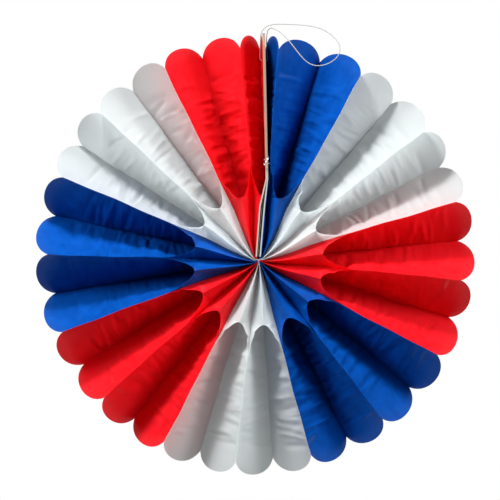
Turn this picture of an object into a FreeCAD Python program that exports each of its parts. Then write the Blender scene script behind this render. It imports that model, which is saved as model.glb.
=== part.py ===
import FreeCAD, Part
import Sketcher
import math
import os

# Hanging paper fan medallion, opened to a full circle, in millimetres.
# It faces -Y with +Z up, and the origin is in the hanging hole, between the two covers at mid-depth.
# The fan's own hub axis is parallel to Y and lies straight below, and all sheets and covers start there.
# Angles run clockwise from +Z about the hub, as seen from the front.

SIZES = {
    # tissue sheets
    "sheet_width": 63.5,
    "sheet_gauge": 0.3,
    "glue_gap": 0.1,
    "tip_rise": 14.6,
    "outline_radius": 228.6,
    "outline_shift": -3.5,
    "outline_lift": 5.3,
    # glue lines, as distances from the hub
    "pocket_apex": 67.0,
    "pocket_shoulder": 103.0,
    "back_seam": 62.0,
    "root_seam": 38.0,
    "last_pocket": 2.2,
    # the two card covers, seen edge-on from the front
    "card_gauge": 1.3,
    "card_gap": 0.1,
    "card_top": 236.1,
    "card_root": 3.6,
    "top_side": 5.4,
    "bend_side": 8.7,
    "bend_level": 84.0,
    "splay_level": 55.3,
    "left_splay": 1.5,
    "right_splay": 6.1,
    "left_root": -2.3,
    "right_root": 1.7,
    "hole_drop": 29.1,
    "hole_radius": 2.0,
    # wire clip that holds the covers together
    "wire_width": 1.0,
    "wire_play": 0.15,
    "clip_level": 101.9,
    "clip_width": 9.0,
    "clip_inner_width": 6.4,
    "clip_grip": 24.0,
    "clip_overhang": 5.0,
    "clip_end_gap": 7.0,
    # hanging string
    "string_width": 1.0,
}

# Front ridges of the pleats, measured clockwise from the top; the hand-opened fan is uneven.
RIDGE_ANGLES = (
    5.5, 29.0, 52.0, 73.5, 95.5, 118.0, 142.0, 165.0, 186.5,
    207.5, 228.5, 250.0, 271.5, 293.0, 313.0, 334.0, 355.0,
)

# Nine blocks of four sheets, clockwise from the right cover.
COLOURS = ("blue", "white", "red")
SHEETS_PER_BLOCK = 4
SHEET_COUNT = 36

# Lines along each sheet, as shares of its width from front to back.
WIDTH_SHARES = (0.0, 0.08, 0.16, 0.3, 0.65, 1.0)
# Outside the pocket they spread evenly, for the rounded end.
END_SHARES = (0.0, 0.2, 0.4, 0.6, 0.8, 1.0)
# The ridge glue line sinks from the front by one of them at each cross line, shoulder to apex, and
# then keeps its depth.
SEAM_SHARES = WIDTH_SHARES[:4] + WIDTH_SHARES[3:4] * 2

# The string's route by hand, from the hole's left end over the covers' top, round the loop that
# lies in front of the first lobes, and back down the right cover into the hole.
STRING_ROUTE = (
    (-0.4, 0.0, 0.0),
    (-4.7, -0.6, 0.2),
    (-4.4, -3.2, 8.4),
    (-4.1, -7.4, 19.5),
    (-3.5, -10.4, 29.6),
    (2.0, -12.0, 35.4),
    (9.5, -13.2, 37.7),
    (22.7, -16.0, 37.3),
    (38.8, -20.0, 36.3),
    (54.8, -25.0, 33.7),
    (66.7, -30.0, 27.6),
    (75.3, -34.0, 18.9),
    (78.3, -36.2, 11.3),
    (76.9, -37.0, 4.6),
    (72.2, -37.2, -1.0),
    (64.8, -37.2, -5.4),
    (54.8, -37.0, -7.6),
    (45.4, -36.4, -4.9),
    (37.3, -34.4, 3.2),
    (26.3, -28.0, 18.5),
    (16.8, -20.0, 28.8),
    (10.2, -14.0, 33.0),
    (4.6, -8.6, 33.8),
    (2.4, -6.2, 26.8),
    (2.4, -3.4, 15.8),
    (3.1, -1.0, 6.4),
    (4.3, -0.2, 0.3),
    (0.4, 0.0, 0.0),
)
# A bend's arc takes this share of the shorter of its two runs.
ARC_SHARE = 0.45
# A cover's push on the planes beside it dies away over its own size times this.
PUSH_SPREAD = 1.15

doc = FreeCAD.newDocument("paper_fan_medallion")
sheet = doc.addObject("Spreadsheet::Sheet", "Sizes")
for row, (alias, value) in enumerate(SIZES.items(), start=1):
    sheet.set(f"A{row}", alias)
    sheet.set(f"B{row}", str(value))
    sheet.setAlias(f"B{row}", alias)
for index, value in enumerate(RIDGE_ANGLES, start=1):
    row = len(SIZES) + index
    sheet.set(f"A{row}", f"ridge_angle_{index}")
    sheet.set(f"B{row}", str(value))
    sheet.setAlias(f"B{row}", f"ridge_angle_{index}")
doc.recompute()


def size(alias):
    return float(sheet.get(alias))


# The hole lies on the covers' meeting face, which leans from the bend to the top.
HOLE_SIDE = (
    "(Sizes.top_side + Sizes.hole_drop * (Sizes.bend_side - Sizes.top_side)"
    " / (Sizes.card_top - Sizes.bend_level))"
)
HOLE_LEVEL = "(Sizes.card_top - Sizes.hole_drop)"
FRONT = -size("sheet_width") / 2
hole_level = size("card_top") - size("hole_drop")
lean = (size("bend_side") - size("top_side")) / (size("card_top") - size("bend_level"))
hole_side = size("top_side") + size("hole_drop") * lean
HUB = FreeCAD.Vector(-hole_side, 0, -hole_level)
parts = []


def place_at_hub(thing):
    thing.setExpression("Placement.Base.x", f"-{HOLE_SIDE}")
    thing.setExpression("Placement.Base.z", f"-{HOLE_LEVEL}")


def blend(share):
    share = min(max(share, 0.0), 1.0)
    return share * share * (3 - 2 * share)


def between(levels, values, level):
    """Straight-line value at a level, with the levels falling from the top to the hub."""
    if level >= levels[0]:
        return values[0]
    for upper, lower, start, stop in zip(levels, levels[1:], values, values[1:]):
        if level >= lower:
            return start + (stop - start) * (upper - level) / (upper - lower)
    return values[-1]


def sheet_value(formula):
    """The number that a formula of sheet values stands for now."""
    return float(sheet.evalExpression(formula.replace("Sizes.", "")))


# Card covers: two bent strips, face to face down to the bend; below it they stand apart in front
# and meet again behind
CARD_LEVELS = ("card_top", "bend_level", "splay_level", "card_root")
CARD_SIDES = {
    "left": ("top_side", "bend_side", "left_splay", "left_root"),
    "right": ("top_side", "bend_side", "right_splay", "right_root"),
}
OUTWARD = {"left": -1, "right": 1}


def face_formulas(side, outer, behind):
    """Sideways place of a cover's inner or outer face at each level, as sheet formulas."""
    sign = "-" if OUTWARD[side] < 0 else "+"
    back_sign = "+" if sign == "-" else "-"
    formulas = []
    for row, alias in enumerate(CARD_SIDES[side]):
        if row < 2:
            shift = f"{sign} Sizes.card_gauge" if outer else ""
            formulas.append(f"Sizes.{alias} {shift}")
        elif behind:
            middle = " + ".join(f"Sizes.{sides[row]}" for sides in CARD_SIDES.values())
            shift = f"{sign} Sizes.card_gap / 2" + (f" {sign} Sizes.card_gauge" if outer else "")
            formulas.append(f"({middle}) / 2 {shift}")
        else:
            formulas.append(f"Sizes.{alias} {sign if outer else back_sign} Sizes.card_gauge / 2")
    return formulas


card_levels = [size(name) for name in CARD_LEVELS]
card_outer = {
    side: [
        [sheet_value(text) for text in face_formulas(side, True, behind)]
        for behind in (False, True)
    ]
    for side in CARD_SIDES
}


def card_face(side, level, width_share):
    """Sideways place of a cover's outer face at a level above the hub and a share of the width."""
    front, back = (between(card_levels, faces, level) for faces in card_outer[side])
    return front + (back - front) * width_share


def origin_plane(body, role):
    return [item for item in body.Origin.OriginFeatures if item.Role == role][0]


def new_sketch(body, role, name):
    sketch = body.newObject("Sketcher::SketchObject", name)
    sketch.AttachmentSupport = [(origin_plane(body, role), "")]
    sketch.MapMode = "FlatFace"
    return sketch


def bind_point(sketch, edge, across, upward):
    """Fixes the start of an edge at two sheet formulas from the sketch's origin."""
    point = sketch.Geometry[edge].StartPoint
    for kind, value, formula in (
        ("DistanceX", point.x, across),
        ("DistanceY", point.y, upward),
    ):
        number = sketch.addConstraint(Sketcher.Constraint(kind, -1, 1, edge, 1, value))
        sketch.setExpression(f"Constraints[{number}]", formula)


def bound_polygon(sketch, corners):
    """A closed polygon whose corners follow sheet formulas."""
    places = [FreeCAD.Vector(sheet_value(a), sheet_value(b), 0) for a, b in corners]
    count = len(places)
    for index in range(count):
        line = Part.LineSegment(places[index], places[(index + 1) % count])
        sketch.addGeometry(line, False)
    for index in range(count):
        joint = Sketcher.Constraint("Coincident", index, 2, (index + 1) % count, 1)
        sketch.addConstraint(joint)
    for index, (across, upward) in enumerate(corners):
        bind_point(sketch, index, across, upward)


def add_card(side):
    body = doc.addObject("PartDesign::Body", f"{side}_card")
    body.Label = f"{side}_card"
    levels = [f"Sizes.{name}" for name in CARD_LEVELS]
    bends = []
    for behind, name in enumerate(("front", "back")):
        bend = new_sketch(body, "XZ_Plane", f"{side}_card_{name}")
        # The sketch's own normal points to the front.
        sign = "-" if behind else ""
        bend.setExpression("AttachmentOffset.Base.z", f"{sign}Sizes.sheet_width / 2")
        inner = list(zip(face_formulas(side, False, behind), levels))
        outer = list(zip(face_formulas(side, True, behind), levels))
        bound_polygon(bend, inner + outer[::-1])
        bends.append(bend)
    doc.recompute()
    strip = body.newObject("PartDesign::AdditiveLoft", f"{side}_card_strip")
    strip.Profile = bends[0]
    strip.Sections = [bends[1]]
    strip.Ruled = True
    doc.recompute()

    # The rounded top is cut like the sheets' ends, one arc over the whole width.
    crown = new_sketch(body, "YZ_Plane", f"{side}_card_crown")
    half = size("sheet_width") / 2
    top = size("card_top")
    rise = size("tip_rise")
    shoulder = top - rise
    corners = (
        FreeCAD.Vector(-half, shoulder, 0),
        FreeCAD.Vector(half, shoulder, 0),
        FreeCAD.Vector(half, top + rise, 0),
        FreeCAD.Vector(-half, top + rise, 0),
    )
    arc_radius = (half * half + rise * rise) / (2 * rise)
    centre = FreeCAD.Vector(0, top - arc_radius, 0)
    angle = math.asin(half / arc_radius)
    circle = Part.Circle(centre, FreeCAD.Vector(0, 0, 1), arc_radius)
    arc = Part.ArcOfCircle(circle, math.pi / 2 - angle, math.pi / 2 + angle)
    crown.addGeometry(Part.LineSegment(corners[1], corners[2]), False)
    crown.addGeometry(Part.LineSegment(corners[2], corners[3]), False)
    crown.addGeometry(Part.LineSegment(corners[3], corners[0]), False)
    crown.addGeometry(arc, False)
    for first, first_end, second, second_end in ((0, 2, 1, 1), (1, 2, 2, 1), (2, 2, 3, 2), (3, 1, 0, 1)):
        joint = Sketcher.Constraint("Coincident", first, first_end, second, second_end)
        crown.addConstraint(joint)
    over = "Sizes.card_top + Sizes.tip_rise"
    bind_point(crown, 0, "Sizes.sheet_width / 2", "Sizes.card_top - Sizes.tip_rise")
    bind_point(crown, 1, "Sizes.sheet_width / 2", over)
    bind_point(crown, 2, "-Sizes.sheet_width / 2", over)
    number = crown.addConstraint(Sketcher.Constraint("Radius", 3, arc_radius))
    crown.setExpression(
        f"Constraints[{number}]",
        "((Sizes.sheet_width / 2) ^ 2 + Sizes.tip_rise ^ 2) / (2 * Sizes.tip_rise)",
    )
    crown.addConstraint(Sketcher.Constraint("Vertical", 2))
    cut = body.newObject("PartDesign::Pocket", f"{side}_card_end")
    cut.Profile = crown
    cut.Type = 1
    cut.Midplane = True
    doc.recompute()

    eye = new_sketch(body, "YZ_Plane", f"{side}_card_eye")
    ring = Part.Circle(
        FreeCAD.Vector(0, hole_level, 0), FreeCAD.Vector(0, 0, 1), size("hole_radius")
    )
    eye.addGeometry(ring, False)
    eye.addConstraint(Sketcher.Constraint("PointOnObject", 0, 3, -2))
    number = eye.addConstraint(Sketcher.Constraint("DistanceY", -1, 1, 0, 3, hole_level))
    eye.setExpression(f"Constraints[{number}]", HOLE_LEVEL)
    number = eye.addConstraint(Sketcher.Constraint("Radius", 0, size("hole_radius")))
    eye.setExpression(f"Constraints[{number}]", "Sizes.hole_radius")
    hole = body.newObject("PartDesign::Pocket", f"{side}_card_hole")
    hole.Profile = eye
    hole.Type = 1
    hole.Midplane = True
    place_at_hub(body)
    parts.append(body)


# Tissue sheets: each fills the wedge between two glue planes, a pocket plane and a ridge plane


def direction_of(side, point_radius, width_share):
    """Angle at which sheets may lie beside a cover, at a distance from the hub, in degrees."""
    across = card_face(side, point_radius, width_share)
    level = math.sqrt(max(point_radius**2 - across**2, 0.0))
    across = card_face(side, level, width_share) + OUTWARD[side] * size("card_gap") / 2
    return math.degrees(math.atan2(across, level))


def wedge_half_gap():
    """Tangential half-width that a sheet needs of its wedge."""
    return (size("sheet_gauge") + size("glue_gap")) / 2


def first_pocket(point_radius, width_share):
    """Plane between sheets 1 and 2; sheet 1 lies flat on the right cover."""
    reach = math.degrees(2 * wedge_half_gap() / point_radius)
    return direction_of("right", point_radius, width_share) + reach


def last_pocket(point_radius, width_share):
    """Plane between the last two sheets; the last one stands off the left cover towards its back."""
    start = size("pocket_shoulder") + size("clip_width") / 2
    lift = size("last_pocket") * blend((point_radius - start) / start)
    reach = math.degrees((2 * wedge_half_gap() + lift) / point_radius)
    return 360 + direction_of("left", point_radius, width_share) - reach


def open_angle(number):
    """Angle of a glue plane far from the hub: ridges as set, pockets half-way between them."""
    if number % 2 == 0:
        return size(f"ridge_angle_{number // 2}")
    return (open_angle(number - 1) + open_angle(number + 1)) / 2


def plane_angle(number, point_radius, width_share):
    """Angle of glue plane number, from 0 at the right cover to SHEET_COUNT at the left one."""
    if number == 0:
        return direction_of("right", point_radius, width_share)
    if number == SHEET_COUNT:
        return 360 + direction_of("left", point_radius, width_share)
    first = first_pocket(point_radius, width_share)
    last = last_pocket(point_radius, width_share)
    if number == 1:
        return first
    if number == SHEET_COUNT - 1:
        return last
    # Away from the hub a plane keeps its own angle and only gives way to a cover that leans over it.
    rim = size("card_top") - size("tip_rise")
    rim_first = first_pocket(rim, width_share)
    rim_last = last_pocket(rim, width_share)
    angle = open_angle(number)
    first_push = max(first - rim_first, 0.0)
    last_push = max(rim_last - last, 0.0)
    near = angle - rim_first
    far = rim_last - angle
    if first_push > 0:
        angle += first_push * math.exp(-near / (PUSH_SPREAD * first_push))
    if last_push > 0:
        angle -= last_push * math.exp(-far / (PUSH_SPREAD * last_push))
    # At the hub all sheets lie evenly round the axis.
    even = first + (last - first) * (number - 1) / (SHEET_COUNT - 2)
    closeness = 1 - blend((point_radius - 2 * size("card_root")) / size("splay_level"))
    return angle + (even - angle) * closeness


def bend_radius(side, level_alias):
    """Distance from the hub of a cover's outer face where the cover bends or ends."""
    level = size(level_alias)
    return math.hypot(card_face(side, level, 0), level)


def pocket_lines(side):
    """Distances from the hub of the pocket's cross lines, shoulder first; two are the cover's bends."""
    bend = bend_radius(side, "bend_level")
    shoulder = size("pocket_shoulder")
    return (
        shoulder,
        (shoulder + bend) / 2,
        bend,
        size("pocket_apex"),
        bend_radius(side, "splay_level"),
        size("root_seam"),
    )


def ridge_share(side, point_radius, width_share):
    """How far a sheet is from its pocket plane (0) to its ridge plane (1), set by its glue lines.

    Outside the shoulder it runs from the ridge in front to the pocket plane behind. Inwards of it
    the free front edge follows half of an ellipse to the pocket plane, and the ridge glue line
    sinks into the depth. Behind that line the sheet stays on the ridge plane inside the root seam.
    """
    apex = size("pocket_apex")
    shoulder = size("pocket_shoulder")
    root_seam = size("root_seam")
    back_seam = size("back_seam")
    along = min(max((shoulder - point_radius) / (shoulder - apex), 0.0), 1.0)
    front = math.sqrt(1 - along * along)
    back = 1 - blend((point_radius - root_seam) / (back_seam - root_seam))
    seam = between(pocket_lines(side), SEAM_SHARES, point_radius)
    if width_share < seam:
        return front + (1 - front) * width_share / seam
    return 1 + (back - 1) * (width_share - seam) / (1 - seam)


def tip_reach(angle):
    """Distance from the hub to the fan's round outline, whose centre isn't quite at the hub."""
    radians = math.radians(angle)
    along = size("outline_shift") * math.sin(radians) + size("outline_lift") * math.cos(radians)
    off = size("outline_shift") * math.cos(radians) - size("outline_lift") * math.sin(radians)
    return along + math.sqrt(size("outline_radius") ** 2 - off**2)


def end_drop(depth):
    """How far a sheet's rounded end falls back from its tip, at a depth from its middle."""
    half = size("sheet_width") / 2
    rise = size("tip_rise")
    arc_radius = (half * half + rise * rise) / (2 * rise)
    return arc_radius - math.sqrt(arc_radius**2 - depth**2)


def near_side(number):
    """The cover whose bends a sheet's cross lines follow."""
    return "right" if number <= SHEET_COUNT / 2 else "left"


def sheet_lines(side):
    """Distances from the hub of a sheet's cross lines, short of its rounded end."""
    root = bend_radius(side, "card_root")
    shoulder = size("pocket_shoulder")
    far = size("outline_radius") - size("outline_lift") - 2 * size("tip_rise")
    inner = (root, 3 * root, size("root_seam") / 2)
    return inner + pocket_lines(side)[::-1] + ((shoulder + far) / 2, far)


def sheet_point(number, point_radius, width_share, outward):
    """A point on one face of a sheet; outward is -1 or 1 for the face on the lower or higher angle."""
    low = math.radians(plane_angle(number - 1, point_radius, width_share))
    high = math.radians(plane_angle(number, point_radius, width_share))
    share = ridge_share(near_side(number), point_radius, width_share)
    if number % 2 == 1:
        share = 1 - share
    room = (high - low) * point_radius - 2 * wedge_half_gap()
    along = wedge_half_gap() + share * room + outward * size("sheet_gauge") / 2
    angle = low + along / point_radius
    depth = FRONT + width_share * size("sheet_width")
    return FreeCAD.Vector(point_radius * math.sin(angle), depth, point_radius * math.cos(angle))


def paper_solid(number):
    """The closed solid of one sheet, as flat facets between its cross lines and width shares."""
    rim = size("outline_radius")
    middle = (plane_angle(number - 1, rim, 0) + plane_angle(number, rim, 0)) / 2
    lines = sheet_lines(near_side(number))
    columns = len(WIDTH_SHARES)
    rows = len(lines) + 1
    points = []
    for outward in (-1, 1):
        for row in range(rows):
            shares = WIDTH_SHARES if row < len(lines) - 2 else END_SHARES
            for width_share in shares:
                depth = FRONT + width_share * size("sheet_width")
                if row < len(lines):
                    radius = lines[row]
                else:
                    radius = tip_reach(middle) - end_drop(depth)
                points.append(sheet_point(number, radius, width_share, outward))
    layer = rows * columns
    facets = []

    def quad(a, b, c, d):
        facets.append((a, b, d))
        facets.append((b, c, d))

    for row in range(rows - 1):
        for column in range(columns - 1):
            a = row * columns + column
            b = a + 1
            c = b + columns
            d = a + columns
            quad(a, b, c, d)
            quad(layer + c, layer + b, layer + a, layer + d)
    for column in range(columns - 1):
        start = column
        end = (rows - 1) * columns + column
        quad(start, layer + start, layer + start + 1, start + 1)
        quad(end, end + 1, layer + end + 1, layer + end)
    for row in range(rows - 1):
        front = row * columns
        back = front + columns - 1
        quad(front, front + columns, layer + front + columns, layer + front)
        quad(back, layer + back, layer + back + columns, back + columns)
    skin = Part.Shape()
    skin.makeShapeFromMesh((points, facets), 0.001)
    solid = Part.makeSolid(Part.Shell(skin.Faces))
    if solid.Volume < 0:
        solid.reverse()
    return solid


def add_sheet(number):
    colour = COLOURS[(number - 1) // SHEETS_PER_BLOCK % len(COLOURS)]
    name = f"sheet_{number:02d}_{colour}"
    solid = paper_solid(number)
    if number in (1, SHEET_COUNT):
        # The string's hole goes on through the sheet that is glued to each cover.
        start = FreeCAD.Vector(-size("sheet_width"), 0, hole_level)
        hole = Part.makeCylinder(
            size("hole_radius"), 2 * size("sheet_width"), start, FreeCAD.Vector(1, 0, 0)
        )
        solid = solid.cut(hole).Solids[0]
    feature = doc.addObject("Part::Feature", name)
    feature.Label = name
    feature.Shape = solid
    feature.Placement = FreeCAD.Placement(HUB, FreeCAD.Rotation())
    parts.append(feature)


# Wire and string: round tubes along straight runs joined by tangent arcs


def rounded_path(points):
    """A wire of straight runs and tangent arcs through the points, its length and its bend radii."""
    places = [FreeCAD.Vector(*point) for point in points]
    edges = []
    radii = []
    start = places[0]
    for before, corner, after in zip(places, places[1:], places[2:]):
        into = corner - before
        out = after - corner
        turn = into.getAngle(out)
        trim = ARC_SHARE * min(into.Length, out.Length)
        radii.append(trim / math.tan(turn / 2))
        into.normalize()
        out.normalize()
        arc_start = corner - into * trim
        arc_end = corner + out * trim
        towards = (out - into).normalize()
        bulge = radii[-1] / math.cos(turn / 2) - radii[-1]
        edges.append(Part.LineSegment(start, arc_start).toShape())
        edges.append(Part.Arc(arc_start, corner + towards * bulge, arc_end).toShape())
        start = arc_end
    edges.append(Part.LineSegment(start, places[-1]).toShape())
    wire = Part.Wire(edges)
    return wire, wire.Length, radii


def add_tube(name, points, width_alias, origin):
    """Sweeps a round section along a rounded path as a sub-part of its own."""
    wire, length, radii = rounded_path(points)
    path = doc.addObject("Part::Feature", f"{name}_path")
    path.Shape = wire
    section = doc.addObject("Part::Circle", f"{name}_section")
    section.setExpression("Radius", f"Sizes.{width_alias} / 2")
    first = FreeCAD.Vector(*points[1]) - FreeCAD.Vector(*points[0])
    turned = FreeCAD.Rotation(FreeCAD.Vector(0, 0, 1), first)
    section.Placement = FreeCAD.Placement(FreeCAD.Vector(*points[0]), turned)
    tube = doc.addObject("Part::Sweep", name)
    tube.Label = name
    tube.Sections = [section]
    tube.Spine = (path, [])
    tube.Solid = True
    tube.Frenet = False
    tube.Placement = FreeCAD.Placement(origin, FreeCAD.Rotation())
    doc.recompute()
    ideal = math.pi * (size(width_alias) / 2) ** 2 * length
    print(f"{name}: length {length:.1f}, volume {tube.Shape.Volume:.1f} of {ideal:.1f}")
    print(f"{name}: bend radii", " ".join(f"{radius:.1f}" for radius in radii))
    parts.append(tube)


def clip_points():
    """The bent wire, from its end on the left cover round the front bend to its end on the right."""
    stack = size("card_gauge") + 2 * wedge_half_gap() + size("wire_play") + size("wire_width") / 2
    level = size("clip_level")
    middle = size("top_side") + lean * (size("card_top") - level)
    left = middle - stack
    right = middle + stack
    half = size("clip_width") / 2
    inner = size("clip_inner_width")
    nose = FRONT - size("clip_overhang")
    heel = FRONT + size("clip_grip")
    end = FRONT + size("clip_end_gap")
    return (
        (left, end, level - half + inner),
        (left, heel, level - half + inner),
        (left, heel, level - half),
        (left, nose, level - half),
        (right, nose, level + half),
        (right, heel, level + half),
        (right, heel, level + half - inner),
        (right, end, level + half - inner),
    )


for side in CARD_SIDES:
    add_card(side)
for number in range(1, SHEET_COUNT + 1):
    add_sheet(number)
add_tube("closing_clip", clip_points(), "wire_width", HUB)
add_tube("hanging_string", STRING_ROUTE, "string_width", FreeCAD.Vector(0, 0, 0))

doc.recompute()
for thing in doc.Objects:
    if "Invalid" in thing.State or "Error" in thing.State:
        raise RuntimeError(f"{thing.Label} failed: {thing.State}")
for part in parts:
    if part.Shape.isNull() or not part.Shape.isValid() or not part.Shape.Solids:
        raise RuntimeError(f"{part.Label} has no valid solid")
os.makedirs("parts", exist_ok=True)
for part in parts:
    part.Shape.exportStep(f"parts/{part.Label}.step")
print(len(parts), "sub-parts written")
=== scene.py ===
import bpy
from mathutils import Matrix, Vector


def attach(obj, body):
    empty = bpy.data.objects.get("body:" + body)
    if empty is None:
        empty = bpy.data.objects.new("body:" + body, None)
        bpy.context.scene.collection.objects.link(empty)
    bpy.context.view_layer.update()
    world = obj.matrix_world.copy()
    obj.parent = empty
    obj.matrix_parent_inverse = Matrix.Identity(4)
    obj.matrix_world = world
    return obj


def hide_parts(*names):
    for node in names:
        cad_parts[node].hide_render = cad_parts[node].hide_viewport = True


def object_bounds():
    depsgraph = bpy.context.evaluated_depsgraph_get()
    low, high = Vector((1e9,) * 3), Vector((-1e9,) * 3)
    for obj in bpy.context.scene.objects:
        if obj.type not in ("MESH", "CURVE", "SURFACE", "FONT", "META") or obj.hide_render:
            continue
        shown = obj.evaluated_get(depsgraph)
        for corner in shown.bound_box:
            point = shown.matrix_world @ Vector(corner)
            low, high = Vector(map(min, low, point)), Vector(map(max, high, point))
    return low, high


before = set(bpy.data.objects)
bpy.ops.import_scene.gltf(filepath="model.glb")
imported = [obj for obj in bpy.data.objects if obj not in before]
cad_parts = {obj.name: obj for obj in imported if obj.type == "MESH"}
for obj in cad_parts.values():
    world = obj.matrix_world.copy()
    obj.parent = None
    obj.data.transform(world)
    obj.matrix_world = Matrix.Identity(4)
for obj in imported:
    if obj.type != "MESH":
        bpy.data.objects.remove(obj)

"""Dresses the paper fan medallion: 36 glued tissue sheets, two card covers, a wire clip and a string.

The frame is the part's own: metres, the front faces -Y, +Z is up, and the origin is in the hanging
hole. Angles run clockwise from +Z about the fan's hub, as seen from the front.
"""

import logging
import math
from dataclasses import dataclass
from enum import Enum

import bpy
import numpy as np

logging.basicConfig(level=logging.INFO, format="%(message)s")
log = logging.getLogger("paper_fan")

Point = tuple[float, float, float]
Rgb = tuple[float, float, float]
Route = tuple[bpy.types.Node, str | int, bpy.types.Node, str | int]
CAD_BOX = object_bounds()
MM = 0.001
TINY = 1e-6
WAVER_SEED = 500
CREASE_SEED = 1700
SHARP_FOLD = math.radians(50)


class Side(Enum):
    """The two covers, by the side on which each lies."""

    LEFT = -1
    RIGHT = 1


class Tissue(Enum):
    """The tissue colours in the order in which the blocks of sheets follow each other."""

    BLUE = "blue"
    WHITE = "white"
    RED = "red"


# Helpers for curves and meshes


def blend(share: np.ndarray) -> np.ndarray:
    """Smooth step.

    Args:
        share: Position from 0 to 1; clipped to that range.

    Returns:
        3 share squared minus 2 share cubed.
    """
    share = np.clip(share, 0.0, 1.0)
    return share * share * (3 - 2 * share)


def signed_volume(points: np.ndarray, quads: np.ndarray) -> float:
    """Volume inside a closed quad mesh, positive if its faces point outwards.

    Args:
        points: Vertex places, one row each.
        quads: Vertex numbers of the faces, four a row.

    Returns:
        The sum over the faces' triangles of corner dot (corner cross corner) over six.
    """
    a, b, c, d = (points[quads[:, i]] for i in range(4))
    first = np.einsum("ij,ij->i", a, np.cross(b, c)).sum()
    second = np.einsum("ij,ij->i", a, np.cross(c, d)).sum()
    return float(first + second) / 6


def mesh_object(
    name: str, points: np.ndarray, quads: np.ndarray, uv: np.ndarray | None = None
) -> bpy.types.Object:
    """Makes an object at the origin from vertex and face arrays.

    Args:
        name: Name of the object and its mesh.
        points: Vertex places in metres.
        quads: Vertex numbers of the faces, four a row.
        uv: Coordinates of each vertex on the piece's own map, in metres, or None.

    Returns:
        The new object, smooth shaded with its folds over SHARP_FOLD kept sharp.
    """
    if signed_volume(points, quads) < 0:
        quads = quads[:, ::-1]
    mesh = bpy.data.meshes.new(name)
    mesh.vertices.add(len(points))
    mesh.vertices.foreach_set("co", points.astype(np.float32).ravel())
    mesh.loops.add(quads.size)
    mesh.loops.foreach_set("vertex_index", quads.astype(np.int32).ravel())
    mesh.polygons.add(len(quads))
    mesh.polygons.foreach_set("loop_start", np.arange(0, quads.size, 4, dtype=np.int32))
    mesh.update(calc_edges=True)
    if uv is not None:
        layer = mesh.uv_layers.new(name="Sheet")
        layer.uv.foreach_set("vector", uv[quads.ravel()].astype(np.float32).ravel())
    mesh.polygons.foreach_set("use_smooth", np.ones(len(quads), dtype=bool))
    mesh.set_sharp_from_angle(angle=SHARP_FOLD)
    mesh.validate()
    thing = bpy.data.objects.new(name, mesh)
    bpy.context.scene.collection.objects.link(thing)
    return thing


def grid_quads(rows: int, columns: int) -> np.ndarray:
    """Faces of a closed skin of two grid layers, the second after the first in the vertex list.

    Args:
        rows: Vertices along the first way.
        columns: Vertices along the second way.

    Returns:
        Vertex numbers, four a row: both layers and the rim that joins them.
    """
    number = np.arange(rows * columns).reshape(rows, columns)
    layer = rows * columns
    a, b = number[:-1, :-1].ravel(), number[:-1, 1:].ravel()
    c, d = number[1:, 1:].ravel(), number[1:, :-1].ravel()
    lower = np.stack([a, b, c, d], axis=1)
    upper = np.stack([a, d, c, b], axis=1) + layer
    loop = np.concatenate([number[0, :-1], number[:-1, -1], number[-1, :0:-1], number[:0:-1, 0]])
    after = np.roll(loop, -1)
    rim = np.stack([loop, loop + layer, after + layer, after], axis=1)
    return np.concatenate([lower, upper, rim])


# Shape of the opened fan


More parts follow.
